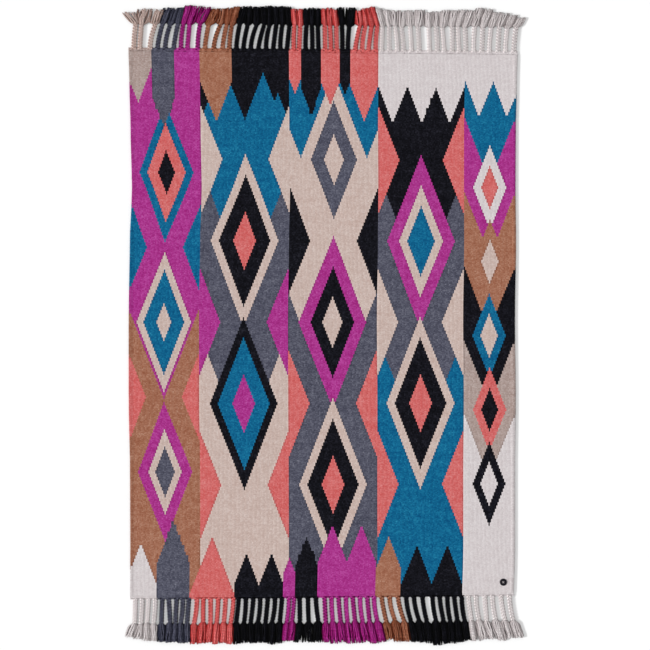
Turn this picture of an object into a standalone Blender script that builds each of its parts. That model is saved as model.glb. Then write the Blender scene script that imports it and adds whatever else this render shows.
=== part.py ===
"""Flat-woven rug with plaited and tasselled ends, lying on a floor.

Metres. The origin is on the floor at the middle of the whole rug, fringes included.
+X is the rug's right side, +Y its far end and +Z is up.
The rug is four solids: the cloth, the round tag sewn on its near right corner, and at each end
a narrow heading with its plaits and tassels. Nothing of it moves.
"""

import math

import bmesh
import bpy

# The cloth
CLOTH_THICKNESS = 0.0040
EDGE_ROUNDING = 0.0012
SELVEDGE_STEPS = 24
GAP = 0.0003

# How the hand-woven selvedges waver: y along the rug, x of the left edge, x of the right edge
SELVEDGES = (
    (-1.000, -0.703, 0.687),
    (-0.820, -0.702, 0.692),
    (-0.525, -0.703, 0.692),
    (-0.270, -0.708, 0.695),
    (0.020, -0.708, 0.692),
    (0.300, -0.704, 0.696),
    (0.490, -0.696, 0.694),
    (0.700, -0.701, 0.695),
    (0.900, -0.706, 0.699),
    (1.010, -0.709, 0.702),
)

# The headings, where the warps are gathered into plaits
HEADING_DEPTH = 0.010
HEADING_HEIGHT = 0.0050

# Each end: its name, which way it points along Y, and the y of its plait roots at the left and right
ENDS = (
    ("fringe_top", 1, 1.0027, 0.9897),
    ("fringe_bottom", -1, -0.9943, -0.9813),
)

# The far end's plaits in groups from left to right, in millimetres: how many there are, the x of the
# first and last root, of the first and last neck, where a plait stops, and of the first and last
# tassel's tips, then how far the first and last tips reach from the roots
TOP_GROUPS = (
    (2, -689, -667, -682, -660, -716, -647, 133, 145),
    (1, -630, -630, -611, -611, -600, -600, 144, 144),
    (3, -604, -545, -583, -529, -562, -511, 146, 150),
    (2, -518, -494, -508, -488, -490, -465, 158, 157),
    (1, -458, -458, -448, -448, -420, -420, 151, 151),
    (2, -431, -399, -417, -374, -391, -366, 144, 148),
    (2, -368, -342, -350, -334, -340, -314, 150, 154),
    (4, -318, -238, -305, -214, -290, -222, 155, 157),
    (4, -209, -133, -197, -125, -199, -131, 160, 156),
    (2, -110, -90, -107, -85, -109, -88, 147, 147),
    (3, -66, -19, -64, -22, -66, -21, 154, 153),
    (3, 4, 47, 2, 44, 0, 35, 151, 152),
    (2, 66, 88, 65, 93, 62, 104, 156, 154),
    (4, 114, 187, 131, 194, 127, 174, 145, 160),
    (3, 210, 266, 213, 258, 193, 255, 150, 146),
    (3, 290, 345, 281, 342, 286, 348, 147, 149),
    (3, 384, 437, 380, 430, 379, 441, 143, 149),
    (3, 465, 515, 463, 510, 473, 535, 153, 148),
    (6, 543, 688, 547, 696, 567, 716, 157, 128),
)

# The near end's plaits in the same columns
BOTTOM_GROUPS = (
    (4, -684, -612, -687, -619, -704, -616, 137, 155),
    (2, -587, -562, -589, -558, -589, -565, 155, 159),
    (3, -535, -490, -540, -498, -542, -496, 158, 160),
    (2, -462, -437, -472, -438, -471, -445, 164, 164),
    (4, -412, -329, -413, -340, -419, -341, 159, 166),
    (7, -310, -152, -318, -162, -316, -165, 162, 165),
    (2, -128, -109, -136, -116, -143, -124, 158, 158),
    (3, -89, -29, -89, -21, -96, -21, 161, 163),
    (8, 1, 182, 6, 193, 11, 211, 163, 166),
    (3, 208, 268, 227, 291, 240, 303, 156, 164),
    (3, 297, 356, 317, 373, 331, 385, 164, 169),
    (5, 393, 499, 407, 510, 412, 520, 175, 164),
    (3, 522, 582, 536, 589, 549, 613, 160, 157),
    (3, 611, 671, 624, 687, 645, 709, 158, 151),
)
GROUPS_OF_END = {"fringe_top": TOP_GROUPS, "fringe_bottom": BOTTOM_GROUPS}

# How far a plait strays from its even place in the group: its root, its neck, its tips and their reach
STRAY = (0.0008, 0.0012, 0.0014, 0.0022)

# Plaits and tassels
PLAIT_LENGTH = 0.092
ROOT_WIDTH = 0.0175
STRAND_GAP = 0.0012
CROWN_SHARE = 0.62

# How a strand is shaped: the part, how far along it, the most it is wide and its height
STRAND_SECTIONS = (
    ("plait", 0.06, 0.0185, 0.0078),
    ("plait", 0.50, 0.0185, 0.0078),
    ("plait", 1.00, 0.0165, 0.0084),
    ("tassel", 0.35, 0.0260, 0.0080),
    ("tassel", 0.85, 0.0420, 0.0064),
    ("tassel", 1.00, 0.0400, 0.0044),
)

# The round tag on the near right corner
TAG_CENTRE = (0.650, -0.932)
TAG_RADIUS = 0.0130
TAG_THICKNESS = 0.0014
TAG_ROUNDING = 0.0004
TAG_SIDES = 40

# Colours: the cloth's mean colour, the fringes' mean colour and the tag's black, with one roughness
WOOL_ROUGHNESS = 0.92
CLOTH_COLOUR = (0.30, 0.25, 0.26, 1.0)
FRINGE_COLOUR = (0.33, 0.27, 0.28, 1.0)
TAG_COLOUR = (0.020, 0.020, 0.024, 1.0)


def clear_scene():
    for item in list(bpy.data.objects):
        bpy.data.objects.remove(item, do_unlink=True)


def finish_of(name, colour):
    """A woollen finish of one colour."""
    material = bpy.data.materials.new(name)
    material.use_nodes = True
    shader = material.node_tree.nodes["Principled BSDF"]
    shader.inputs["Base Color"].default_value = colour
    shader.inputs["Roughness"].default_value = WOOL_ROUGHNESS
    shader.inputs["Metallic"].default_value = 0.0
    return material


def add_object(name, mesh_data, colour, parent):
    """Turns a bmesh into a named, coloured object under the rug's empty."""
    bmesh.ops.recalc_face_normals(mesh_data, faces=mesh_data.faces)
    mesh = bpy.data.meshes.new(name)
    mesh_data.to_mesh(mesh)
    mesh_data.free()
    mesh.materials.append(finish_of(name + "_finish", colour))
    piece = bpy.data.objects.new(name, mesh)
    bpy.context.scene.collection.objects.link(piece)
    piece.parent = parent
    return piece


def smooth_between(table, at, column):
    """A column's value at a place along the table's first column, eased from row to row."""
    if at <= table[0][0]:
        return table[0][column]
    for low, high in zip(table, table[1:]):
        if at <= high[0]:
            share = (at - low[0]) / (high[0] - low[0])
            eased = share * share * (3 - 2 * share)
            return low[column] + (high[column] - low[column]) * eased
    return table[-1][column]


def root_line(end, x):
    """The y at which an end's plaits leave the heading, which runs slightly askew."""
    _, _, left_y, right_y = end
    share = (x - SELVEDGES[0][1]) / (SELVEDGES[0][2] - SELVEDGES[0][1])
    return left_y + (right_y - left_y) * share


def corner_x(end, column):
    """The x of the cloth's corner at an end: column 1 is the left selvedge and 2 the right."""
    return smooth_between(SELVEDGES, end[2 if column == 1 else 3], column)


def make_cloth(parent):
    """The woven ground: a thin slab whose outline follows the two wavering selvedges."""
    inset = HEADING_DEPTH + GAP
    near, far = ENDS[1], ENDS[0]
    outline = []
    for column, first, last in ((2, near, far), (1, far, near)):
        start = root_line(first, corner_x(first, column)) - first[1] * inset
        stop = root_line(last, corner_x(last, column)) - last[1] * inset
        for step in range(SELVEDGE_STEPS + 1):
            y = start + (stop - start) * step / SELVEDGE_STEPS
            outline.append((smooth_between(SELVEDGES, y, column), y))
    cloth = bmesh.new()
    floor_face = cloth.faces.new([cloth.verts.new((x, y, 0.0)) for x, y in outline])
    raised = bmesh.ops.extrude_face_region(cloth, geom=[floor_face])["geom"]
    lifted = [item for item in raised if isinstance(item, bmesh.types.BMVert)]
    bmesh.ops.translate(cloth, verts=lifted, vec=(0.0, 0.0, CLOTH_THICKNESS))
    rim = [edge for edge in cloth.edges if all(v.co.z > CLOTH_THICKNESS / 2 for v in edge.verts)]
    bmesh.ops.bevel(cloth, geom=rim, offset=EDGE_ROUNDING, segments=1, affect="EDGES")
    add_object("field", cloth, CLOTH_COLOUR, parent)


def plaits_of(end):
    """Each plait of an end, in metres: the x of its root, neck and tips, and the reach of its tips."""
    plaits = []
    for group in GROUPS_OF_END[end[0]]:
        count, pairs = group[0], list(zip(group[1::2], group[2::2]))
        for number in range(count):
            share = number / max(count - 1, 1)
            plait = [(first + (last - first) * share) / 1000 for first, last in pairs]
            place = len(plaits)
            if place > 0:
                plait = [
                    value + stray * math.sin(2.4 * place + 1.7 * column + end[1])
                    for column, (value, stray) in enumerate(zip(plait, STRAY))
                ]
            plaits.append(plait)
    return plaits


def centre_x(plait, out):
    """The x of a strand's middle at a distance out from its root: it bends to the neck, then leans on."""
    root_x, neck_x, tip_x, reach = plait
    if out <= PLAIT_LENGTH:
        return root_x + (neck_x - root_x) * (out / PLAIT_LENGTH) ** 1.6
    return neck_x + (tip_x - neck_x) * (out - PLAIT_LENGTH) / (reach - PLAIT_LENGTH)


def side_room(plaits, number, out, half_width, side):
    """Half a strand's width towards one side, less where its neighbour lies close."""
    if 0 <= number + side < len(plaits):
        apart = centre_x(plaits[number + side], out) - centre_x(plaits[number], out)
        half_width = min(half_width, (abs(apart) - STRAND_GAP) / 2)
    return half_width


def make_fringe(end, colour, parent):
    """One end's heading and its strands: each strand is drawn out of the heading's outer face."""
    name, way, _, _ = end
    plaits = plaits_of(end)
    stations = [corner_x(end, 1)]
    for root_x, _, _, _ in plaits:
        stations += [root_x - ROOT_WIDTH / 2, root_x + ROOT_WIDTH / 2]
    stations.append(corner_x(end, 2))

    fringe = bmesh.new()
    rows = []
    for x in stations:
        outer = root_line(end, x)
        inner = outer - way * HEADING_DEPTH
        corners = ((inner, 0.0), (inner, HEADING_HEIGHT), (outer, HEADING_HEIGHT), (outer, 0.0))
        rows.append([fringe.verts.new((x, y, z)) for y, z in corners])
    fringe.faces.new(rows[0])
    fringe.faces.new(rows[-1])
    root_faces = []
    for station, (row, following) in enumerate(zip(rows, rows[1:])):
        for corner in range(4):
            beyond = (corner + 1) % 4
            face = fringe.faces.new((row[corner], row[beyond], following[beyond], following[corner]))
            if corner == 2 and station % 2 == 1:
                root_faces.append(face)

    for number, face in enumerate(root_faces):
        root_x, _, _, reach = plaits[number]
        for part, along, width, height in STRAND_SECTIONS:
            face = bmesh.ops.extrude_discrete_faces(fringe, faces=[face])["faces"][0]
            out = PLAIT_LENGTH * along
            if part == "tassel":
                out = PLAIT_LENGTH + (reach - PLAIT_LENGTH) * along
            x, y = centre_x(plaits[number], out), root_line(end, root_x) + way * out
            left = side_room(plaits, number, out, width / 2, -1)
            right = side_room(plaits, number, out, width / 2, 1)
            middle_x = sum(v.co.x for v in face.verts) / 4
            middle_z = sum(v.co.z for v in face.verts) / 4
            for vertex in face.verts:
                crown = CROWN_SHARE if vertex.co.z > middle_z else 1.0
                side = -left if vertex.co.x < middle_x else right
                vertex.co = (x + side * crown, y, height if crown < 1.0 else 0.0)
    add_object(name, fringe, colour, parent)


def make_tag(parent):
    """The round felt tag: a thin disc whose upper rim is softened."""
    tag = bmesh.new()
    bmesh.ops.create_cone(
        tag,
        cap_ends=True,
        segments=TAG_SIDES,
        radius1=TAG_RADIUS,
        radius2=TAG_RADIUS,
        depth=TAG_THICKNESS,
    )
    rim = [edge for edge in tag.edges if all(v.co.z > 0 for v in edge.verts)]
    bmesh.ops.bevel(tag, geom=rim, offset=TAG_ROUNDING, segments=1, affect="EDGES")
    piece = add_object("round_tag", tag, TAG_COLOUR, parent)
    piece.location = (*TAG_CENTRE, CLOTH_THICKNESS + GAP + TAG_THICKNESS / 2)


def main():
    clear_scene()
    rug = bpy.data.objects.new("rug", None)
    bpy.context.scene.collection.objects.link(rug)
    make_cloth(rug)
    for end in ENDS:
        make_fringe(end, FRINGE_COLOUR, rug)
    make_tag(rug)


main()
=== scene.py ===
"""A flat-woven wool rug with plaited and tasselled ends, laid on a pale floor, seen from straight above.

Metres. +X is the rug's right side, +Y its far end and +Z is up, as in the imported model.
"""

import math

import bpy
import numpy as np
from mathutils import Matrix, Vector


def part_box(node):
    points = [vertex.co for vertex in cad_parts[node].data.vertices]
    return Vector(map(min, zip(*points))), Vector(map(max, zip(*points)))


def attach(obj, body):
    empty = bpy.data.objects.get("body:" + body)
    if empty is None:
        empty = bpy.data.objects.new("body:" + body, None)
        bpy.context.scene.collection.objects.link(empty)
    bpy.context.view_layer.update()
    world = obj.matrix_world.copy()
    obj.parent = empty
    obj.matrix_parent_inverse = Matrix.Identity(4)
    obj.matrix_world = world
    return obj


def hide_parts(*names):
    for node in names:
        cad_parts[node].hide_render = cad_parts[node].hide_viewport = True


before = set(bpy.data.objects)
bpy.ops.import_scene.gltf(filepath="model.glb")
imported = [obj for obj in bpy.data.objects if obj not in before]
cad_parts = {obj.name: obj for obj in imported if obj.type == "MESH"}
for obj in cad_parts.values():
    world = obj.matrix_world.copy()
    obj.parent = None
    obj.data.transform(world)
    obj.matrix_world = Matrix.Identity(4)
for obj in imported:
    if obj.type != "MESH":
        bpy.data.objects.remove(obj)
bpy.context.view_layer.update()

bpy.ops.object.select_all(action="DESELECT")

# The photograph was taken from straight above the middle of the rug. The lens is a long one, so
# the plaits at the ends hardly show their sides.
PHOTO_WIDTH = 2.3576
PHOTO_MIDDLE = 0.0036
LENS = 85.0
FILM_WIDTH = 36.0

camera_height = PHOTO_WIDTH * LENS / FILM_WIDTH
bpy.ops.object.camera_add(location=(PHOTO_MIDDLE, 0.0, camera_height), rotation=(0.0, 0.0, 0.0))
camera = bpy.context.object
camera.data.lens = LENS
camera.data.sensor_width = FILM_WIDTH
bpy.context.scene.camera = camera
bpy.context.scene.view_settings.view_transform = "Standard"

# The studio is a white floor under an even white sky, with one broad lamp low on the left, as far
# off as the sun. The lamp gives the rug and its plaits their thin grey shadows on the right. Angles
# are in degrees.
FLOOR_SIZE = 60.0
FLOOR_WHITE = 0.90
SKY_STRENGTH = 0.74
LAMP_STRENGTH = 3.25
LAMP_HEIGHT = 22.0
LAMP_SPREAD = 6.0
LAMP_TURN = 6.0

bpy.ops.mesh.primitive_plane_add(size=FLOOR_SIZE, location=(0.0, 0.0, 0.0))
floor = bpy.context.object
floor.name = "studio_floor"
floor_paint = bpy.data.materials.new("floor_paint")
floor_paint.use_nodes = True
floor_shader = floor_paint.node_tree.nodes["Principled BSDF"]
floor_shader.inputs["Base Color"].default_value = (FLOOR_WHITE, FLOOR_WHITE, FLOOR_WHITE, 1.0)
floor_shader.inputs["Roughness"].default_value = 0.9
floor_shader.inputs["Specular IOR Level"].default_value = 0.1
floor.data.materials.append(floor_paint)

sky = bpy.data.worlds.new("even_sky")
sky.use_nodes = True
sky.node_tree.nodes["Background"].inputs["Color"].default_value = (1.0, 1.0, 1.0, 1.0)
sky.node_tree.nodes["Background"].inputs["Strength"].default_value = SKY_STRENGTH
bpy.context.scene.world = sky

lamp_rotation = (0.0, math.radians(LAMP_HEIGHT - 90.0), math.radians(LAMP_TURN))
bpy.ops.object.light_add(type="SUN", location=(-4.0, 0.0, 3.0), rotation=lamp_rotation)
lamp = bpy.context.object
lamp.data.energy = LAMP_STRENGTH
lamp.data.angle = math.radians(LAMP_SPREAD)

# The woven ground is one wool cloth, a weft packed hard over warps 4.8 mm apart, so that it shows
# upright ribs. Each colour is its own weft, turned back where it meets the next one, and the cloth
# is laid flat with its hand-woven edges wavering a little.
WARPS = 291
TURNS = 160
CLOTH_WIDTH_MM = 1400.0
CLOTH_THICKNESS = 0.0040
UNEVENNESS = 0.00025
SLIT_DEPTH = 0.00045

# The outermost warp is a round cord: how far in its top lies, the face's heights from the edge
# inwards, and the height of its foot
SELVEDGE_TURN = 0.0016
SELVEDGE_HEIGHTS = (0.0044, 0.0055, 0.0045)
SELVEDGE_FOOT = 0.0016

# The dyes, as they look in daylight
DYES = {
    "magenta": (169, 52, 138),
    "teal": (12, 99, 141),
    "coral": (209, 105, 104),
    "brown": (161, 108, 85),
    "grey": (83, 84, 99),
    "black": (16, 16, 23),
    "cream": (201, 180, 172),
    "greige": (172, 153, 147),
    "pale": (212, 204, 205),
}
DYE_NAMES = list(DYES)


def linear(colour):
    """A colour as seen on a screen, 0 to 255, turned into the linear values that light works with."""
    share = np.array(colour, float) / 255
    return np.where(share <= 0.04045, share / 12.92, ((share + 0.055) / 1.055) ** 2.4)


DYE_LIGHT = np.array([linear(DYES[name]) for name in DYE_NAMES])

# The pattern is woven cell by cell: one warp wide and one turn of its weft high. A slanted edge
# moves over by one warp at each turn.
warp, turn = np.meshgrid(np.arange(WARPS), np.arange(TURNS))
pattern = np.zeros(warp.shape, int)


def weave(colour, cells):
    """Weaves the chosen cells in one colour, over what the pattern had there."""
    pattern[cells] = DYE_NAMES.index(colour)


def ground(colour, left, right, start, tooth):
    """A panel's colour from one turn to the far end. Its edge has pointed teeth, so many warps wide."""
    middle = (left + right) // 2
    from_tooth = np.abs((warp - middle + tooth // 2) % tooth - tooth // 2)
    weave(colour, (warp >= left) & (warp < right) & (turn >= start + from_tooth))


def darts(colour, left, right, level, depth):
    """Two triangles that point inwards from a panel's sides."""
    reach = np.minimum(warp - left, right - 1 - warp) + np.abs(turn - level)
    weave(colour, (warp >= left) & (warp < right) & (reach < depth))


def lozenge(middle, level, half_width, bands):
    """A lozenge with smaller ones inside: each band's colour and how far it is set in."""
    reach = np.abs(warp - middle) + np.abs(turn - level)
    for colour, inset in bands:
        weave(colour, reach < half_width - inset)


def bars(from_end, rows):
    """The bars of colour along an end, between two x in millimetres: each ends in one or more points."""
    for colour, left, right, reach, points in rows:
        first, last = (round((x / CLOTH_WIDTH_MM + 0.5) * WARPS) for x in (left, right))
        width = (last - first) / points
        from_point = np.abs(((warp + 0.5 - first) / width) % 1 - 0.5) * width
        weave(colour, (warp >= first) & (warp < last) & (from_end < reach - np.floor(from_point)))


# The five panels: their first and last warps, then each ground's colour, first turn and tooth width
PANELS = (
    (0, 53, (("brown", -40, 53), ("magenta", 58, 53))),
    (53, 120, (("cream", -40, 67), ("grey", 44, 67), ("teal", 92, 67), ("black", 140, 33))),
    (120, 187, (("grey", -40, 67), ("cream", 56, 67), ("teal", 104, 67))),
    (187, 252, (("teal", -40, 65), ("grey", 44, 65), ("black", 92, 65))),
    (252, 291, (("pale", -40, 39), ("greige", 34, 39), ("black", 56, 39), ("brown", 78, 39),
                ("magenta", 100, 39), ("teal", 122, 39))),
)
for left, right, grounds in PANELS:
    for colour, start, tooth in grounds:
        ground(colour, left, right, start, tooth)

# The darts: colour, the panel's first and last warps, the middle's turn and the depth
for colour, left, right, level, depth in (
    ("teal", 0, 53, 102, 13),
    ("coral", 0, 53, 58, 13),
    ("cream", 53, 120, 128, 16),
    ("magenta", 53, 120, 80, 16),
    ("coral", 53, 120, 32, 16),
    ("black", 120, 187, 104, 16),
    ("coral", 120, 187, 56, 16),
    ("coral", 187, 252, 128, 16),
    ("cream", 187, 252, 80, 16),
    ("coral", 187, 252, 32, 16),
):
    darts(colour, left, right, level, depth)

# The lozenges: the middle's warp and turn, half the width, then the bands from the outside in
for middle, level, half_width, bands in (
    (26, 124, 21, (("teal", 0), ("coral", 6), ("black", 14))),
    (26, 80, 21, (("cream", 0), ("teal", 5), ("cream", 15))),
    (26, 36, 21, (("magenta", 0), ("cream", 8), ("grey", 13))),
    (86, 104, 26, (("cream", 0), ("black", 6), ("coral", 17))),
    (86, 56, 26, (("black", 0), ("teal", 6), ("magenta", 17))),
    (153, 128, 26, (("cream", 0), ("grey", 8), ("cream", 18))),
    (153, 80, 26, (("magenta", 0), ("black", 9), ("cream", 18))),
    (153, 32, 26, (("cream", 0), ("black", 6), ("coral", 17))),
    (219, 104, 26, (("magenta", 0), ("cream", 9), ("teal", 15))),
    (219, 56, 26, (("cream", 0), ("black", 6), ("coral", 17))),
    (271, 120, 13, (("pale", 0), ("coral", 6))),
    (271, 98, 13, (("brown", 0), ("cream", 6))),
    (271, 76, 13, (("teal", 0), ("cream", 6))),
    (271, 54, 13, (("coral", 0), ("black", 6))),
    (271, 32, 13, (("black", 0), ("pale", 6))),
):
    lozenge(middle, level, half_width, bands)

# The bars at the far and near ends: colour, left, right, reach in turns, and points
bars(TURNS - 1 - turn, (
    ("greige", -720, -620, 15, 1),
    ("grey", -620, -537, 22, 1),
    ("magenta", -537, -446, 15, 1),
    ("brown", -446, -330, 20, 1),
    ("black", -330, -122, 14, 2),
    ("coral", -122, -77, 12, 1),
    ("black", -77, -8, 18, 1),
    ("coral", -8, 58, 15, 1),
    ("black", 58, 98, 12, 1),
    ("coral", 98, 199, 20, 1),
    ("pale", 199, 510, 20, 3),
    ("pale", 510, 720, 18, 2),
))
bars(turn, (
    ("pale", -720, -602, 15, 1),
    ("grey", -602, -482, 22, 1),
    ("coral", -482, -320, 17, 1),
    ("black", -320, -141, 12, 2),
    ("magenta", -141, -98, 11, 1),
    ("black", -98, -16, 17, 1),
    ("magenta", -16, 194, 20, 2),
    ("brown", 194, 286, 17, 1),
    ("black", 286, 510, 14, 2),
    ("pale", 510, 720, 11, 2),
))

# Beside a join with another colour, if the two differ enough, a light dye is painted lighter and a dark one
# darker: a painted highlight and painted shade along the joins. The two outermost warps at each edge are
# darker.
TURN_CONTRAST = 0.12
JOIN_PAINTED_SHADE, JOIN_PAINTED_HIGHLIGHT = 0.80, 1.06
SELVEDGE_DARKENING = (0.74, 0.88)

cell_dyes = DYE_LIGHT[pattern]
brightness = cell_dyes.mean(axis=2)
beside = np.stack([np.roll(brightness, 1, axis=1), np.roll(brightness, -1, axis=1)])
beside[0, :, 0], beside[1, :, -1] = brightness[:, 0], brightness[:, -1]
# Painted shade on a join's darker side, painted highlight on its lighter side
cell_dyes[beside.max(axis=0) > brightness + TURN_CONTRAST] *= JOIN_PAINTED_SHADE
cell_dyes[beside.min(axis=0) < brightness - TURN_CONTRAST] *= JOIN_PAINTED_HIGHLIGHT
for place, shade in enumerate(SELVEDGE_DARKENING):
    cell_dyes[:, [place, -1 - place]] *= shade

# The outline is the solid cloth's own, read along its two selvedges
foot = np.array([tuple(vertex.co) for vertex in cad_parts["field"].data.vertices])
foot = foot[foot[:, 2] < CLOTH_THICKNESS / 4]
left_edge = foot[foot[:, 0] < 0]
left_edge = left_edge[np.argsort(left_edge[:, 1])]
right_edge = foot[foot[:, 0] > 0]
right_edge = right_edge[np.argsort(right_edge[:, 1])]


def on_cloth(share_across, share_along):
    """The x and y of a place on the cloth, given as shares of its width and of its length."""
    near = left_edge[0, 1] + (right_edge[0, 1] - left_edge[0, 1]) * share_across
    far = left_edge[-1, 1] + (right_edge[-1, 1] - left_edge[-1, 1]) * share_across
    y = near + (far - near) * share_along
    left = np.interp(y, left_edge[:, 1], left_edge[:, 0])
    right = np.interp(y, right_edge[:, 1], right_edge[:, 0])
    return left + (right - left) * share_across, y


def paint_dyes(mesh, dyes):
    """Gives each face of a mesh its dye: a row of red, green and blue for each face."""
    attribute = mesh.color_attributes.new(name="dye", type="FLOAT_COLOR", domain="CORNER")
    counts = np.empty(len(mesh.polygons), int)
    mesh.polygons.foreach_get("loop_total", counts)
    corners = np.repeat(np.column_stack([dyes, np.ones(len(dyes))]), counts, axis=0)
    attribute.data.foreach_set("color", corners.ravel())


# A sheet with a face for each cell gets its dyes, then its thickness, so that both sides show them
bpy.ops.mesh.primitive_grid_add(x_subdivisions=WARPS, y_subdivisions=TURNS, size=1.0)
cloth = bpy.context.object
cloth.name = "woven_ground"
paint_dyes(cloth.data, cell_dyes.reshape(-1, 3))
bpy.ops.object.modifier_add(type="SOLIDIFY")
cloth.modifiers[-1].thickness = CLOTH_THICKNESS
cloth.modifiers[-1].offset = -1.0
bpy.ops.object.modifier_apply(modifier=cloth.modifiers[-1].name)

corners = np.empty(len(cloth.data.vertices) * 3)
cloth.data.vertices.foreach_get("co", corners)
points = corners.reshape(2, TURNS + 1, WARPS + 1, 3)
face, back = points
cloth_width = right_edge[:, 0].mean() - left_edge[:, 0].mean()
cloth_length = left_edge[-1, 1] - left_edge[0, 1]
share_across = np.arange(WARPS + 1) / WARPS
share_across[1] = SELVEDGE_TURN / cloth_width
share_across[-2] = 1 - share_across[1]
share_across, share_along = np.meshgrid(share_across, np.arange(TURNS + 1) / TURNS)
x, y = on_cloth(share_across, share_along)
points[..., 0], points[..., 1] = x, y

# The face is gently uneven, in swells about a hand wide. It dips where a join runs along a warp, and
# rounds off at its selvedges.
swell = np.sin(31 * x + 4 * np.sin(5 * y)) * np.sin(23 * y + 3 * np.sin(7 * x))
face[..., 2] = CLOTH_THICKNESS - UNEVENNESS * (1 + swell)
joins = pattern[:, 1:] != pattern[:, :-1]
face[1:-1, 1:-1, 2] -= SLIT_DEPTH * (joins[1:] & joins[:-1])
back[..., 2] = 0.0
for place, height in enumerate(SELVEDGE_HEIGHTS):
    face[:, [place, -1 - place], 2] = height
back[:, [0, -1], 2] = SELVEDGE_FOOT
cloth.data.vertices.foreach_set("co", corners)

# The map runs in warps and turns, also round the selvedges
loops = np.empty(len(cloth.data.loops), int)
cloth.data.loops.foreach_get("vertex_index", loops)
shares = np.stack([share_across, share_along], axis=-1).reshape(-1, 2)
cloth.data.uv_layers[0].data.foreach_set("uv", shares[loops % len(shares)].ravel())
bpy.ops.object.shade_smooth_by_angle(angle=math.radians(50))


def add_node(tree, kind, inputs=(), **settings):
    """Adds a node with its settings. Each input is a value or another node's output."""
    node = tree.nodes.new(kind)
    for name, value in settings.items():
        setattr(node, name, value)
    for name, value in dict(inputs).items():
        if isinstance(value, bpy.types.NodeSocket):
            tree.links.new(value, node.inputs[name])
        else:
            node.inputs[name].default_value = value
    return node


def calculate(tree, operation, first, second=0.5, third=0.5):
    """One sum on numbers or outputs."""
    return add_node(tree, "ShaderNodeMath", {0: first, 1: second, 2: third}, operation=operation).outputs[0]


# How much deeper or fainter the dye gets in soft clouds and from pass to pass of the weft. A stray
# light fibre shows as a fleck on one bead in a hundred.
CLOUD_DEPTH = 0.30
LOT_DEPTH = 0.24
FLECK_FROM = 0.99
FLECK_FADE = 0.40

# The height within a relief, from 0 in its grooves to 1, at which the dye shows as it is: below it the dye is
# painted darker as shade, above it lighter as painted light
TRUE_HEIGHT = 0.72


def mottle(tree, place, scale):
    """Soft spots with values from 0 to 1, about so many to a metre."""
    spots = add_node(tree, "ShaderNodeTexNoise", {"Vector": place, "Scale": scale, "Detail": 2.0})
    return spots.outputs["Fac"]


def wool_finish(name, weave_relief, relief_height, painted_groove_shade, tuft_depth, fibre_depth):
    """Matt wool in the piece's own dyes: heathered tufts and fibres, uneven dye lots, and a relief that is
    bumped, with painted shade in its grooves and painted light on its crests.
    """
    material = bpy.data.materials.new(name)
    material.use_nodes = True
    tree = material.node_tree
    shader = tree.nodes["Principled BSDF"]
    shader.inputs["Roughness"].default_value = 0.95
    shader.inputs["Specular IOR Level"].default_value = 0.04
    shader.inputs["Sheen Weight"].default_value = 0.02
    shader.inputs["Sheen Roughness"].default_value = 0.6
    dye = add_node(tree, "ShaderNodeAttribute", attribute_name="dye").outputs["Color"]
    place = add_node(tree, "ShaderNodeTexCoord").outputs["Object"]
    upright = add_node(tree, "ShaderNodeMapping", {"Vector": place, "Scale": (1.0, 0.62, 1.0)}).outputs[0]
    level = add_node(tree, "ShaderNodeMapping", {"Vector": place, "Scale": (0.12, 1.0, 1.0)}).outputs[0]
    fibres = mottle(tree, upright, 175.0)
    clouds = mottle(tree, upright, 55.0)
    lots = mottle(tree, level, 70.0)
    height, tuft = weave_relief(tree)

    # A deeper or a fainter dye: tuft by tuft, fibre by fibre, pass by pass and in soft clouds
    depth = calculate(tree, "MULTIPLY_ADD", tuft, tuft_depth, 1.0 - tuft_depth / 2)
    for noise, amount in ((fibres, fibre_depth), (clouds, CLOUD_DEPTH), (lots, LOT_DEPTH)):
        depth = calculate(tree, "MULTIPLY_ADD", noise, amount, calculate(tree, "SUBTRACT", depth, amount / 2))
    fleck = calculate(tree, "GREATER_THAN", tuft, FLECK_FROM)
    depth = calculate(tree, "MULTIPLY_ADD", fleck, -FLECK_FADE, depth)
    dyed = add_node(tree, "ShaderNodeGamma", {"Color": dye, "Gamma": depth}).outputs[0]
    # Painted shade in the relief's grooves, painted light on its crests
    groove = calculate(tree, "MULTIPLY_ADD", height, painted_groove_shade, 1.0 - painted_groove_shade * TRUE_HEIGHT)
    shaded = add_node(tree, "ShaderNodeVectorMath", {0: dyed, 3: groove}, operation="SCALE").outputs[0]
    tree.links.new(shaded, shader.inputs["Base Color"])

    fuzz = calculate(tree, "MULTIPLY_ADD", fibres, 0.5, height)
    bump = add_node(tree, "ShaderNodeBump", {"Height": fuzz, "Distance": relief_height, "Strength": 0.8})
    tree.links.new(bump.outputs["Normal"], shader.inputs["Normal"])
    return material


WEFTS_TO_A_TURN = 4


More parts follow.
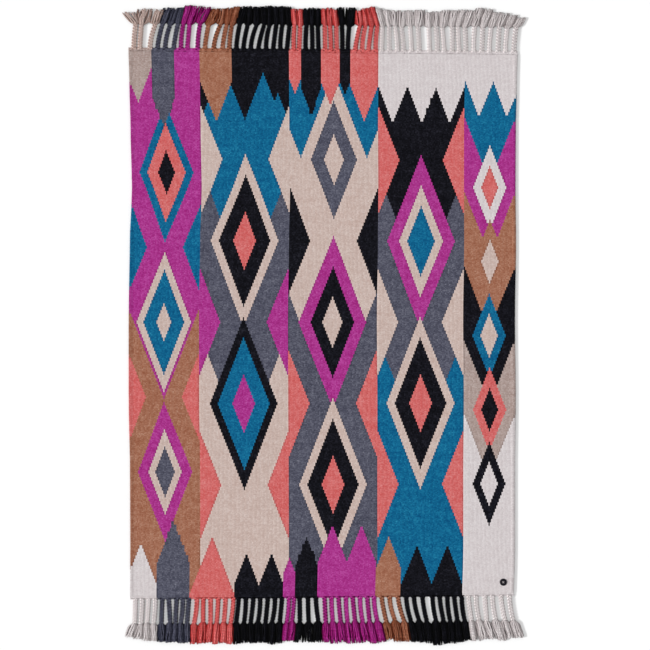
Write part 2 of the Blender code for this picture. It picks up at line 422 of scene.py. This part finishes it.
def woven_ribs(tree):
    """Ribs over the warps, each beaded by its wefts, which lie half a weft further on the next rib."""
    cloth_map = add_node(tree, "ShaderNodeUVMap", uv_map="UVMap").outputs[0]
    parts = add_node(tree, "ShaderNodeSeparateXYZ", {0: cloth_map}).outputs
    warp = calculate(tree, "MULTIPLY", parts[0], float(WARPS))
    rib = calculate(tree, "ABSOLUTE", calculate(tree, "SINE", calculate(tree, "MULTIPLY", warp, math.pi)))
    full_rib = calculate(tree, "POWER", rib, 0.6)
    weft = calculate(tree, "MULTIPLY", parts[1], float(TURNS * WEFTS_TO_A_TURN))
    warp_number = calculate(tree, "FLOOR", warp)
    shifted = calculate(tree, "MULTIPLY_ADD", warp_number, 0.5, weft)
    bead = calculate(tree, "SINE", calculate(tree, "MULTIPLY", calculate(tree, "FRACT", shifted), math.pi))
    full_bead = calculate(tree, "POWER", bead, 0.5)
    height = calculate(tree, "MULTIPLY", full_rib, full_bead)
    bead_number = calculate(tree, "FLOOR", shifted)
    seat = add_node(tree, "ShaderNodeCombineXYZ", {0: warp_number, 1: bead_number}).outputs[0]
    tuft = add_node(tree, "ShaderNodeTexWhiteNoise", {"Vector": seat}, noise_dimensions="2D").outputs["Value"]
    return height, tuft


ribbed_wool = wool_finish(
    "ribbed_wool", woven_ribs, relief_height=0.0010, painted_groove_shade=0.30, tuft_depth=0.32, fibre_depth=0.30
)
cloth.data.materials.append(ribbed_wool)
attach(cloth, "root")
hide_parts("field")

# Each end of the cloth is closed by a heading: the last wefts, with a row of slanted twined stitches
# over each pair of warps, and the warps themselves, drawn together into the plaits, so that the outer
# edge runs in small rounds from plait to plait.
HEADING_PARTING = 0.0002
HEADING_STEPS = 1160
HEADING_TOP = 0.0040
HEADING_DIP = 0.0004
EDGE_ROUND = 0.0012
ROOT_HALF_WIDTH = 0.0090
WEB_ROUND = 0.0032

# The stitches, and the groove that they lie in: some stitches are painted in deeper shade than others
GROOVE_DEPTH = 0.0008
GROOVE_HALF_WIDTH = 0.0014
TWINE_LENGTH = 0.0074
TWINE_SLANT = 0.0022
TWINE_HALF_WIDTH = 0.0012
TWINE_HALF_HEIGHT = 0.0009
TWINE_SUNK = 0.0008
TWINE_RISE = 0.0012
TWINE_SHADE = 0.4

# How the dyes are painted deeper and darker as shade in the hollows between stitches, strands and yarns
HOLLOW_DEPTH = 0.98
HOLLOW_SHADE = 0.52
SCATTER = 0.44
DEEPEST = 2.4
DARKEST = 0.08

# Plaits in groups from left to right, in millimetres: their colour, how many there are, the x of the
# first and last root, of the first and last neck, where a plait stops, and of the first and last
# tassel's tips, then how far the first and last tips reach from the roots
FAR_GROUPS = (
    ("greige", 2, -689, -667, -682, -660, -716, -647, 133, 145),
    ("greige", 1, -630, -630, -611, -611, -600, -600, 144, 144),
    ("grey", 3, -604, -545, -583, -529, -562, -511, 146, 150),
    ("magenta", 2, -518, -494, -508, -488, -490, -465, 158, 157),
    ("magenta", 1, -458, -458, -448, -448, -420, -420, 151, 151),
    ("brown", 2, -431, -399, -417, -374, -391, -366, 144, 148),
    ("brown", 2, -368, -342, -350, -334, -340, -314, 150, 154),
    ("black", 4, -318, -238, -305, -214, -290, -222, 155, 157),
    ("black", 4, -209, -133, -197, -125, -199, -131, 160, 156),
    ("coral", 2, -110, -90, -107, -85, -109, -88, 147, 147),
    ("black", 3, -66, -19, -64, -22, -66, -21, 154, 153),
    ("coral", 3, 4, 47, 2, 44, 0, 35, 151, 152),
    ("black", 2, 66, 88, 65, 93, 62, 104, 156, 154),
    ("coral", 4, 114, 187, 131, 194, 127, 174, 145, 160),
    ("pale", 3, 210, 266, 213, 258, 193, 255, 150, 146),
    ("pale", 3, 290, 345, 281, 342, 286, 348, 147, 149),
    ("pale", 3, 384, 437, 380, 430, 379, 441, 143, 149),
    ("pale", 3, 465, 515, 463, 510, 473, 535, 153, 148),
    ("pale", 6, 543, 688, 547, 696, 567, 716, 157, 128),
)
NEAR_GROUPS = (
    ("pale", 4, -684, -612, -687, -619, -704, -616, 137, 155),
    ("grey", 2, -587, -562, -589, -558, -589, -565, 155, 159),
    ("grey", 3, -535, -490, -540, -498, -542, -496, 158, 160),
    ("coral", 2, -462, -437, -472, -438, -471, -445, 164, 164),
    ("coral", 4, -412, -329, -413, -340, -419, -341, 159, 166),
    ("black", 7, -310, -152, -318, -162, -316, -165, 162, 165),
    ("magenta", 2, -128, -109, -136, -116, -143, -124, 158, 158),
    ("black", 3, -89, -29, -89, -21, -96, -21, 161, 163),
    ("magenta", 8, 1, 182, 6, 193, 11, 211, 163, 166),
    ("brown", 3, 208, 268, 227, 291, 240, 303, 156, 164),
    ("black", 3, 297, 356, 317, 373, 331, 385, 164, 169),
    ("black", 5, 393, 499, 407, 510, 412, 520, 175, 164),
    ("pale", 3, 522, 582, 536, 589, 549, 613, 160, 157),
    ("pale", 3, 611, 671, 624, 687, 645, 709, 158, 151),
)

# The warp yarns are dyed like the wefts, but the undyed ones aren't of the same wool
YARN_DYES = {**DYES, "greige": (193, 173, 166), "pale": (204, 197, 197)}

# A plait's length, and how far each strays from its even place in the group: its root, its neck, its
# tips, their reach and its length
PLAIT_LENGTH = 0.092
STRAY = (0.0008, 0.0012, 0.0014, 0.0022, 0.0030)

# Each end's name and way, its plaits, its solid, and how far out its stitches and its edge lie
ENDS = (
    ("far", 1, FAR_GROUPS, "fringe_top", 0.0018, 0.0134),
    ("near", -1, NEAR_GROUPS, "fringe_bottom", 0.0066, 0.0109),
)


def plaits_of(groups, way):
    """Each plait's root x, neck x, tips x, reach and length in metres as a row, and each one's dye."""
    rows, dyes = [], []
    for colour, count, *ends in groups:
        for share in np.linspace(0, 1, count):
            place = len(rows)
            row = [(first + (last - first) * share) / 1000 for first, last in zip(ends[::2], ends[1::2])]
            row.append(PLAIT_LENGTH)
            if place > 0:
                row = [
                    value + stray * math.sin(2.4 * place + 1.7 * column + way)
                    for column, (value, stray) in enumerate(zip(row, STRAY))
                ]
            rows.append(row)
            dyes.append(linear(YARN_DYES[colour]))
    return np.array(rows), np.array(dyes)


def end_line(way, x):
    """The y of the cloth's end at an x: it runs slightly askew from corner to corner."""
    corner = -1 if way > 0 else 0
    left, right = left_edge[corner], right_edge[corner]
    return left[1] + (right[1] - left[1]) * (x - left[0]) / (right[0] - left[0])


def rolled_strand(sides, lengths):
    """A straight round strand of unit radius from y 0 to 1: a flat sheet rolled up and closed."""
    bpy.ops.mesh.primitive_grid_add(x_subdivisions=sides, y_subdivisions=lengths, size=2.0)
    strand = bpy.context.object
    for vertex in strand.data.vertices:
        turn = -math.pi * vertex.co.x
        vertex.co = (math.cos(turn), (vertex.co.y + 1) / 2, math.sin(turn))
    bpy.ops.object.mode_set(mode="EDIT")
    bpy.ops.mesh.select_all(action="SELECT")
    bpy.ops.mesh.remove_doubles(threshold=0.0001)
    bpy.ops.mesh.fill_holes(sides=0)
    bpy.ops.mesh.select_all(action="SELECT")
    bpy.ops.mesh.normals_make_consistent(inside=False)
    bpy.ops.object.mode_set(mode="OBJECT")
    return strand


def corners_of(template):
    """The x, y and z of each vertex of a piece, a row each."""
    corners = np.empty(len(template.data.vertices) * 3)
    template.data.vertices.foreach_get("co", corners)
    return corners.reshape(-1, 3)


def lay_strands(name, template, middles, half_widths, half_heights, colours, way):
    """One mesh of many strands: the template's rings are set on each strand's own middle line."""
    corners = corners_of(template)
    places = np.array(middles)
    places[..., 0] += way * corners[:, 0] * half_widths
    places[..., 2] += corners[:, 2] * half_heights
    size = len(corners)
    faces = [tuple(polygon.vertices) for polygon in template.data.polygons]
    copies = [tuple(corner + size * copy for corner in face) for copy in range(len(places)) for face in faces]
    mesh = bpy.data.meshes.new(name)
    mesh.from_pydata(places.reshape(-1, 3), [], copies)
    around = np.empty(len(template.data.loops) * 2)
    template.data.uv_layers[0].data.foreach_get("uv", around)
    mesh.uv_layers.new(name="UVMap").data.foreach_set("uv", np.tile(around, len(places)))
    paint_dyes(mesh, np.broadcast_to(colours, (len(places), len(faces), 3)).reshape(-1, 3))
    mesh.shade_smooth()
    strands = bpy.data.objects.new(name, mesh)
    bpy.context.scene.collection.objects.link(strands)
    return strands


def shaded(dyes, hollow):
    """Dyes painted deeper and richer in colour: painted shade in the hollows of plaits, tassels and stitches,
    and yarns that differ by chance. Undyed and grey wools change less, as they scatter more light into their
    hollows."""
    greyness = dyes.min(axis=-1) / dyes.max(axis=-1)
    hollow = (np.clip(hollow, 0, DEEPEST) * (1 - SCATTER * greyness))[..., None]
    return dyes ** (1 + HOLLOW_DEPTH * hollow) * np.maximum(1 - HOLLOW_SHADE * hollow, DARKEST)


def flanks_of(template):
    """How far down each face of a strand's template lies: 0 from its shoulders up, 1 at its sides."""
    shoulder = 0.7
    return np.array([np.clip(1 - polygon.center.z / shoulder, 0, 1) for polygon in template.data.polygons])


YARN_TWISTS = 9.0
YARN_PLIES = 3.0


def twisted_yarn(tree):
    """The slanting turns of a twisted yarn, from the map that runs round and along each strand."""
    yarn_map = add_node(tree, "ShaderNodeUVMap", uv_map="UVMap").outputs[0]
    parts = add_node(tree, "ShaderNodeSeparateXYZ", {0: yarn_map}).outputs
    plies = calculate(tree, "MULTIPLY", parts[0], YARN_PLIES)
    turns = calculate(tree, "MULTIPLY_ADD", parts[1], YARN_TWISTS, plies)
    wave = calculate(tree, "SINE", calculate(tree, "MULTIPLY", turns, 2 * math.pi))
    place = add_node(tree, "ShaderNodeTexCoord").outputs["Object"]
    tuft = add_node(tree, "ShaderNodeTexNoise", {"Vector": place, "Scale": 320.0}).outputs["Fac"]
    return calculate(tree, "MULTIPLY_ADD", wave, 0.5, 0.5), tuft


yarn_wool = wool_finish(
    "yarn_wool", twisted_yarn, relief_height=0.0006, painted_groove_shade=0.55, tuft_depth=0.45, fibre_depth=0.60
)
stitch = rolled_strand(5, 4)
stitch.name = "stitch_pattern"
stitch_share = corners_of(stitch)[:, 1]
sewn = {}
for end_name, way, groups, _, stitch_line, depth in ENDS:
    plaits, _ = plaits_of(groups, way)
    end = -1 if way > 0 else 0
    left, right = left_edge[end], right_edge[end]
    profile = (
        (0.0, HEADING_TOP - HEADING_DIP),
        ((stitch_line - GROOVE_HALF_WIDTH) / 2, HEADING_TOP),
        (stitch_line - GROOVE_HALF_WIDTH, HEADING_TOP),
        (stitch_line, HEADING_TOP - GROOVE_DEPTH),
        (stitch_line + GROOVE_HALF_WIDTH, HEADING_TOP),
        (depth - EDGE_ROUND, HEADING_TOP),
        (depth, HEADING_TOP - EDGE_ROUND),
    )
    bpy.ops.object.select_all(action="DESELECT")
    bpy.ops.mesh.primitive_grid_add(x_subdivisions=HEADING_STEPS, y_subdivisions=len(profile) - 1, size=1.0)
    heading = bpy.context.object
    heading.name = end_name + "_heading"
    points = corners_of(heading).reshape(len(profile), HEADING_STEPS + 1, 3)
    if way < 0:
        points = points[:, ::-1]
    x = left[0] + (right[0] - left[0]) * (points[0, :, 0] + 0.5)
    from_plait = np.abs(x[:, None] - plaits[None, :, 0]).min(axis=1) - ROOT_HALF_WIDTH
    web = WEB_ROUND * np.clip(1 - from_plait / WEB_ROUND, 0, 1) ** 2
    for number, (out, height) in enumerate(profile):
        spread = web * max(0.0, (out - stitch_line) / (depth - stitch_line)) ** 2
        points[number, :, 0] = x
        points[number, :, 1] = end_line(way, x) + way * (HEADING_PARTING + out + spread)
        points[number, :, 2] = height
    if way < 0:
        points = points[:, ::-1]
    heading.data.vertices.foreach_set("co", points.ravel())
    heading_map = np.empty(len(heading.data.loops) * 2)
    heading.data.uv_layers[0].data.foreach_get("uv", heading_map)
    heading_map[1::2] *= depth / cloth_length
    heading.data.uv_layers[0].data.foreach_set("uv", heading_map)
    bpy.ops.object.mode_set(mode="EDIT")
    bpy.ops.mesh.select_mode(type="EDGE")
    bpy.ops.mesh.select_all(action="DESELECT")
    bpy.ops.mesh.select_non_manifold()
    bpy.ops.mesh.extrude_region_move(TRANSFORM_OT_translate={"value": (0.0, 0.0, 0.0)})
    bpy.ops.transform.resize(value=(1.0, 1.0, 0.0), center_override=(0.0, 0.0, 0.0))
    bpy.ops.mesh.edge_face_add()
    bpy.ops.mesh.select_all(action="SELECT")
    bpy.ops.mesh.normals_make_consistent(inside=False)
    bpy.ops.object.mode_set(mode="OBJECT")

    # The heading has the colours of the cloth beside it, and its groove is painted with shade in uneven
    # dashes
    end_row = pattern[end]
    centres = np.empty(len(heading.data.polygons) * 3)
    heading.data.polygons.foreach_get("center", centres)
    warp_below = np.clip((centres[::3] - left[0]) / (right[0] - left[0]) * WARPS, 0, WARPS - 1).astype(int)
    from_line = np.abs(way * (centres[1::3] - end_line(way, centres[::3])) - HEADING_PARTING - stitch_line)
    shade_dashes = np.clip(np.sin(0.9 * warp_below + 2 * np.sin(0.33 * warp_below)), 0, 1) ** 2
    groove = np.where(from_line < GROOVE_HALF_WIDTH, shade_dashes, 0.0)
    paint_dyes(heading.data, shaded(DYE_LIGHT[end_row[warp_below]], groove))
    bpy.ops.object.shade_smooth_by_angle(angle=math.radians(50))
    heading.data.materials.append(ribbed_wool)

    # One slanted stitch over each pair of warps
    seats = np.arange(0, WARPS, 2)
    stitch_x = left[0] + (right[0] - left[0]) * (seats + 1) / WARPS
    slant = (stitch_share - 0.5)[None, :]
    middles = np.empty((len(seats), len(stitch_share), 3))
    middles[..., 0] = stitch_x[:, None] + TWINE_LENGTH * slant
    middles[..., 1] = end_line(way, middles[..., 0]) + way * (stitch_line + TWINE_SLANT * slant)
    middles[..., 2] = HEADING_TOP - GROOVE_DEPTH - TWINE_SUNK + TWINE_RISE * np.cos(math.pi * slant)
    # Painted shade on each stitch, deeper on some than on others
    stitch_shade = 0.5 + 0.5 * np.sin(3.1 * seats + 2 * np.sin(0.7 * seats))
    stitch_dyes = shaded(DYE_LIGHT[end_row[seats]], TWINE_SHADE * stitch_shade)[:, None]
    stitches = lay_strands(
        end_name + "_stitches", stitch, middles, TWINE_HALF_WIDTH, TWINE_HALF_HEIGHT, stitch_dyes, way
    )
    stitches.data.materials.append(yarn_wool)
    sewn[end_name] = [heading, stitches]
bpy.data.objects.remove(stitch)

# Each plait is three strands of warp yarns braided flat, drawn out of the heading. It bends a little to its
# neck, where the braid stops, and is thinner where its neighbour lies close. A strand spreads where it passes
# below another, and there it is painted in shade, most of all at the plait's left side; its flanks are
# painted in shade too, and its dye is painted lighter throughout.
PLAIT_START = -0.0035
PLAIT_HALF_WIDTH = 0.0098
PLAIT_GAP = 0.0004
LEAST_ROOM = 0.4
PLAIT_BOW = 0.0011
PLAIT_BEND = 1.6
ROOT_OUT = 0.0103
BRAID_TURNS = 3
RINGS_TO_A_TURN = 6
BRAID_SWAY = 0.0058
BRAID_LIFT = 0.0023
STRAND_HALF_WIDTH = 0.0036
STRAND_HALF_HEIGHT = 0.0020
NECK_DRAW = 0.22
NECK_SHARE = 0.14
UNDER_SPREAD = 1.0
PLAIT_LIGHT = 1.29
FLANK_SHADE = 0.30

# How deep the painted shade in the creases is at a plait's left and right sides, how far the right ones stray
# from that, and how much fainter the painted shade of pale wool is
LEFT_CREASE_SHADE = 3.2
RIGHT_CREASE_SHADE = 1.2
CREASE_STRAY = 1.0
PALE_FADE = 1.5


def middle_line(plaits, out):
    """The x of each plait's middle at distances out from its root: it bends to the neck, then leans on."""
    root, neck, tips, reach, length = (plaits[:, column, None] for column in range(5))
    along_plait = np.clip(out, 0, length) / length
    bow = PLAIT_BOW * np.sin(2.9 * np.arange(len(plaits)))[:, None] * np.sin(math.pi * along_plait)
    bend = root + (neck - root) * along_plait**PLAIT_BEND + bow
    return bend + (tips - neck) * np.clip(out - length, 0, None) / (reach - length)


def room_beside(middles, half_width, widest, gap):
    """The room to the left and right of each middle line: up to the next one, or to a free side."""
    apart = (np.diff(middles, axis=0) - gap) / 2
    left = np.full(middles.shape, half_width)
    right = left.copy()
    left[1:] = np.clip(apart, LEAST_ROOM * half_width, widest)
    right[:-1] = left[1:]
    return left, right


def phase_of(share, strand, plaits):
    """How far a strand has come in its sway at shares of its plait's length, for every plait."""
    rings = RINGS_TO_A_TURN * (BRAID_TURNS * share + strand / 3) + np.arange(len(plaits))[:, None] + 0.5
    return 2 * math.pi * rings / RINGS_TO_A_TURN


braid_strand = rolled_strand(5, RINGS_TO_A_TURN * BRAID_TURNS)
braid_strand.name = "braid_strand_pattern"
share = corners_of(braid_strand)[:, 1]
face_share = np.array([polygon.center.y for polygon in braid_strand.data.polygons])
flanks = flanks_of(braid_strand)
for end_name, way, groups, *_ in ENDS:
    plaits, plait_dyes = plaits_of(groups, way)
    right_crease_shade = RIGHT_CREASE_SHADE + CREASE_STRAY * np.sin(3.3 * np.arange(len(plaits)))[:, None]
    crease_share = (1 - plait_dyes.mean(axis=1)[:, None]) ** PALE_FADE
    length = plaits[:, 4, None]
    out = PLAIT_START + (length - PLAIT_START) * share
    straight = middle_line(plaits, out)
    left, right = room_beside(straight, PLAIT_HALF_WIDTH, PLAIT_HALF_WIDTH, PLAIT_GAP)
    drawn_in = 1 - NECK_DRAW * np.clip((out / length - 1) / NECK_SHARE + 1, 0, 1) ** 2
    scale = (left + right) / (2 * PLAIT_HALF_WIDTH) * drawn_in
    centre = straight + (right - left) / 2
    middles = np.empty((3 * len(plaits), len(share), 3))
    widths = np.empty(middles.shape[:2])
    colours = np.empty((3 * len(plaits), len(face_share), 3))
    for strand in range(3):
        # It is painted in shade from where it dips below another strand until it comes up again, and at its
        # flanks
        phase = phase_of(face_share, strand, plaits)
        below = np.clip(0.2 - 1.4 * np.sin(2 * phase), 0, 1)
        crease = below * np.where(np.sin(phase) < 0, LEFT_CREASE_SHADE, right_crease_shade)
        hollow = crease * crease_share + FLANK_SHADE * flanks
        colours[strand::3] = shaded(PLAIT_LIGHT * plait_dyes[:, None], hollow)

        # It sways from side to side once in a turn, and goes up and down twice
        phase = phase_of(share, strand, plaits)
        middles[strand::3, :, 0] = centre + BRAID_SWAY * scale * np.sin(phase)
        middles[strand::3, :, 1] = end_line(way, plaits[:, 0, None]) + way * (ROOT_OUT + out)
        middles[strand::3, :, 2] = BRAID_LIFT + STRAND_HALF_HEIGHT + BRAID_LIFT * np.sin(2 * phase)
        spread = 1 + UNDER_SPREAD * np.clip(-np.sin(2 * phase), 0, 1)
        widths[strand::3] = STRAND_HALF_WIDTH * scale * spread
    braids = lay_strands(
        end_name + "_plaits", braid_strand, middles, widths, STRAND_HALF_HEIGHT, colours, way
    )
    braids.data.materials.append(yarn_wool)
    sewn[end_name].append(braids)
bpy.data.objects.remove(braid_strand)

# Below its neck a plait is left loose: its thick twisted yarns open at once into a tassel, the upper
# ones bunched over the lower ones, and the tassels lie against each other as one ragged brush. The
# yarns were cut by hand, so their ends aren't level.
TASSEL_START = -0.005
TASSEL_HALF_WIDTH = 0.0200
TASSEL_WIDEST = 0.0300
TASSEL_OVERLAP = 0.0060
TASSEL_NARROWEST = 0.0105
NECK_HALF_WIDTH = 0.0060
DOME = 0.0038
RAISED = 0.0022

# The upper yarns, how far each strays from its seat, leans and wavers over a tassel whose half width
# is 1, and how much its girth strays
YARNS = 11
YARN_HALF_WIDTH = 0.0027
YARN_HALF_HEIGHT = 0.0021
SEAT_STRAY = 0.16
YARN_LEAN = 0.60
YARN_WAVER = 0.26
YARN_GIRTHS = (0.85, 1.15)
CHANCE_SEEDS = {"far": 11, "near": 23}

# The rings of a yarn lie closer together at its neck, where it bends most
RING_PLACES = 1.5

# The seats of the few flat yarns below them, which fill the tassel out and are painted in deep shade
UNDER_SEATS = (-0.85, -0.4, 0.0, 0.4, 0.85)
UNDER_HALF_WIDTH = 0.0040
UNDER_SHORTER = 0.0060

# The share of its length in which a yarn comes out to its seat: in the middle, more at the sides, and
# for the yarns below
SHOULDER = 0.08
OUTER_SHOULDER = 0.14
UNDER_SHOULDER = 0.28

# How far the tassels' ends, and the ends of the yarns within one, lie beyond the even cut
TASSEL_CUTS = (-0.00228, 0.00228)
YARN_CUTS = (-0.00266, 0.00114)

# How deep the yarns' dyes are painted: by chance, and as painted shade below the others, at a tassel's sides
# where it meets the next one, and at their own flanks; and how much lighter their dyes are painted throughout
YARN_HOLLOWS = (0.0, 0.38)
UNDER_SHADE = 0.85
VALLEY_SHADE = 0.75
YARN_FLANK_SHADE = 0.75
TASSEL_LIGHT = 1.14


def seats_at(share, seat, lean, waver, turned):
    """Where a yarn lies across its tassel, from -1 to 1, at shares of its length."""
    return np.clip(seat + (lean + waver * np.sin(9 * share + turned)) * share, -1, 1)


yarn = rolled_strand(6, 9)
yarn.name = "yarn_pattern"
share = corners_of(yarn)[:, 1] ** RING_PLACES
face_share = np.array([polygon.center.y for polygon in yarn.data.polygons]) ** RING_PLACES
flanks = flanks_of(yarn)
for end_name, way, groups, solid, *_ in ENDS:
    plaits, plait_dyes = plaits_of(groups, way)
    chance = np.random.RandomState(CHANCE_SEEDS[end_name])
    column = (len(plaits), 1)
    start = plaits[:, 4, None] + TASSEL_START
    reach = plaits[:, 3, None]
    tassel_cut = chance.uniform(*TASSEL_CUTS, column)
    middles, widths, colours = [], [], []
    for number in range(YARNS + len(UNDER_SEATS)):
        above = number < YARNS
        if above:
            seat = (number + 0.5) / YARNS * 2 - 1 + chance.uniform(-SEAT_STRAY, SEAT_STRAY, column)
            lean = chance.uniform(-YARN_LEAN, YARN_LEAN, column)
            waver = chance.uniform(0, YARN_WAVER, column)
            own_hollow = chance.uniform(*YARN_HOLLOWS, column)
            cut = tassel_cut + chance.uniform(*YARN_CUTS, column)
        else:
            seat, lean, waver = UNDER_SEATS[number - YARNS], 0.0, 0.0
            own_hollow, cut = UNDER_SHADE, -UNDER_SHORTER
        turned = chance.uniform(0, 2 * math.pi, column)

        # The yarn's own line: out of the neck to its seat, then on to its cut end
        out = start + (reach + cut - start) * share
        straight = middle_line(plaits, out)
        left, right = room_beside(straight, TASSEL_HALF_WIDTH, TASSEL_WIDEST, -TASSEL_OVERLAP)
        seats = seats_at(share, seat, lean, waver, turned)
        room = np.maximum(np.where(seats < 0, left, right), TASSEL_NARROWEST)
        if above:
            room = room - YARN_HALF_WIDTH
            shoulder = SHOULDER + OUTER_SHOULDER * np.abs(seats)
        else:
            shoulder = UNDER_SHOULDER
        opened = np.sin(0.5 * math.pi * np.clip(share / shoulder, 0, 1)) + np.zeros(seats.shape)
        line = np.empty((*seats.shape, 3))
        line[..., 0] = straight + seats * (NECK_HALF_WIDTH + (room - NECK_HALF_WIDTH) * opened)
        line[..., 1] = end_line(way, plaits[:, 0, None]) + way * (ROOT_OUT + out)
        line[..., 2] = YARN_HALF_HEIGHT
        girth = UNDER_HALF_WIDTH / YARN_HALF_WIDTH
        if above:
            line[..., 2] += DOME * (1 - seats**2) * (1 - 0.3 * share) + chance.uniform(0, RAISED, column)
            girth = chance.uniform(*YARN_GIRTHS, column)
        middles.append(line)

        # A yarn is thinner where it is drawn together at the neck, and at its cut end
        widths.append(girth * (0.6 + 0.4 * opened) * (1 - 0.3 * share**8))

        # At its tassel's side, beside another one, it is painted with the shade of the valley between them,
        # and its flanks are painted in shade too
        face_seats = seats_at(face_share, seat, lean, waver, turned)
        valley = np.abs(face_seats) ** 3
        valley[0] *= face_seats[0] > 0
        valley[-1] *= face_seats[-1] < 0
        hollow = own_hollow + VALLEY_SHADE * valley + YARN_FLANK_SHADE * flanks
        colours.append(shaded(TASSEL_LIGHT * plait_dyes[:, None], hollow))
    widths = np.concatenate(widths)
    yarns = lay_strands(
        end_name + "_tassels", yarn, np.concatenate(middles), YARN_HALF_WIDTH * widths,
        YARN_HALF_HEIGHT * np.minimum(widths, 1), np.concatenate(colours), way,
    )
    yarns.data.materials.append(yarn_wool)
    sewn[end_name].append(yarns)
    for piece in sewn[end_name]:
        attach(piece, "root")
        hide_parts(solid)
bpy.data.objects.remove(yarn)

# A round tag of thick near-black felt is sewn on near the rug's right corner, held by two crossed
# stitches of pale wool yarn. Nothing is written on it.
FELT_COLOUR = (26, 24, 30)
FELT_FLECK = (66, 63, 70)
CROSS_WIDTH = 0.0063
CROSS_HALF_WIDTH = 0.0012
CROSS_HALF_HEIGHT = 0.0008
CROSS_SUNK = 0.0005
CROSS_RISE = 0.0011

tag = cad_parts["round_tag"]
felt = bpy.data.materials.new("tag_felt")
felt.use_nodes = True
tree = felt.node_tree
shader = tree.nodes["Principled BSDF"]
shader.inputs["Roughness"].default_value = 0.95
shader.inputs["Specular IOR Level"].default_value = 0.06
place = add_node(tree, "ShaderNodeTexCoord").outputs["Object"]
mat = add_node(tree, "ShaderNodeTexNoise", {"Vector": place, "Scale": 900.0, "Detail": 4.0}).outputs["Fac"]
flecks = mottle(tree, place, 2400.0)
share_of_flecks = calculate(tree, "MULTIPLY", calculate(tree, "POWER", flecks, 4.0), mat)
colour = add_node(
    tree, "ShaderNodeMix",
    {"Factor": share_of_flecks, 6: (*linear(FELT_COLOUR), 1.0), 7: (*linear(FELT_FLECK), 1.0)},
    data_type="RGBA",
).outputs[2]
tree.links.new(colour, shader.inputs["Base Color"])
bump = add_node(tree, "ShaderNodeBump", {"Height": mat, "Distance": 0.0005, "Strength": 0.7})
tree.links.new(bump.outputs["Normal"], shader.inputs["Normal"])
tag.material_slots[0].material = felt

tag_low, tag_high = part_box("round_tag")
stitch = rolled_strand(6, 6)
share = corners_of(stitch)[:, 1]
middles = np.empty((2, len(share), 3))
for number, slope in enumerate((1, -1)):
    middles[number, :, 0] = (tag_low[0] + tag_high[0]) / 2 + slope * CROSS_WIDTH * (share - 0.5)
    middles[number, :, 1] = (tag_low[1] + tag_high[1]) / 2 + CROSS_WIDTH * (share - 0.5)
    middles[number, :, 2] = tag_high[2] - CROSS_SUNK * (1 - number) + CROSS_RISE * np.sin(math.pi * share)
pale_yarn = DYE_LIGHT[DYE_NAMES.index("pale")]
cross = lay_strands("tag_stitches", stitch, middles, CROSS_HALF_WIDTH, CROSS_HALF_HEIGHT, pale_yarn, 1)
cross.data.materials.append(yarn_wool)
bpy.data.objects.remove(stitch)
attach(cross, "root")
